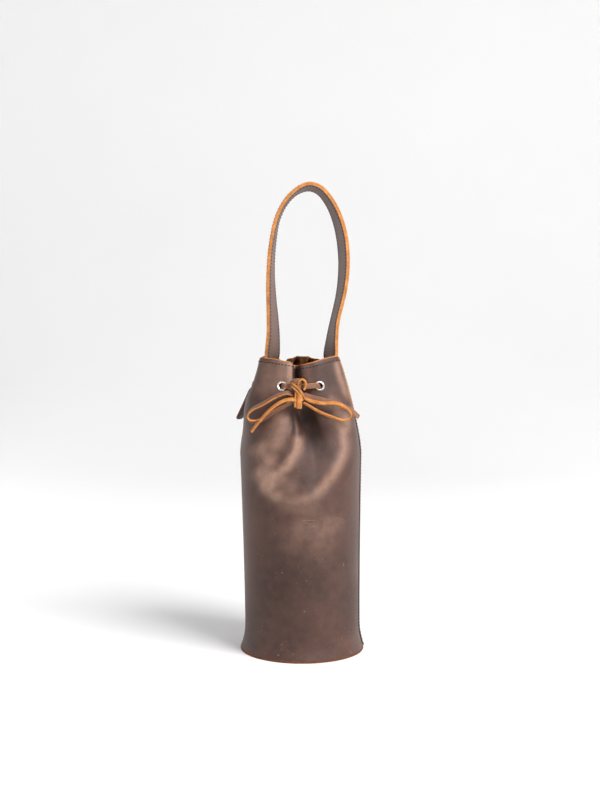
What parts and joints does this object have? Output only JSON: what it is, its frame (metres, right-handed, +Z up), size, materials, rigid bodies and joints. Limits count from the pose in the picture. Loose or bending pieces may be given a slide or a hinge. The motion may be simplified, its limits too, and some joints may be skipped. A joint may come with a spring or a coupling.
{
  "type": "bottle carrier",
  "caption": "Leather bottle carrier with a laced, drawn-in mouth, a bow at the front and a tall arched strap handle.",
  "frame": {"origin": "centre of the base disc's underside, where the carrier stands", "axes": "+Z up along the carrier, -Y to the front where the bow is, +X to the right as seen from the front"},
  "size_m": [0.1218, 0.1156, 0.4339],
  "materials": {
    "body_leather": "waxed pull-up, satin",
    "base_leather": "waxed pull-up, satin",
    "board": "matt fibre board",
    "facing_leather": "matt flesh side",
    "strap_leather": "waxed pull-up, satin",
    "nickel": "polished",
    "lace_leather": "brown grain, tan cut edges"
  },
  "bodies": {
    "bag": {"body_panel": "body_leather", "base_disc": "base_leather", "base_board": "board", "mouth_facing": "facing_leather", "strap_end_left": "strap_leather", "strap_end_right": "strap_leather", "eyelets": "nickel", "eyelet_washers": "nickel", "lace_round_mouth": "lace_leather"},
    "handle": {"strap_outer_ply": "strap_leather", "strap_inner_ply": "strap_leather"},
    "bow": {"bow_knot": "lace_leather", "bow_loop_left": "lace_leather", "bow_loop_right": "lace_leather", "lace_tail_left": "lace_leather", "lace_tail_right": "lace_leather"},
    "tab": {"side_tab": "body_leather"}
  },
  "joints": [
    {"name": "handle_tilt", "type": "hinge", "parent": "bag", "child": "handle", "pos_m": [0, -0.00152, 0.286], "axis": [1, 0, 0], "range_deg": [-45, 45], "stiffness_Nm_per_rad": 0.05},
    {"name": "bow_flip", "type": "hinge", "parent": "bag", "child": "bow", "pos_m": [-0.00304, -0.03875, 0.248], "axis": [-1, 0, 0], "range_deg": [0, 80]},
    {"name": "tab_swing", "type": "hinge", "parent": "bag", "child": "tab", "pos_m": [-0.04403, 0.01196, 0.24727], "axis": [0.3784, 0.9256, 0], "range_deg": [0, 80]}
  ]
}
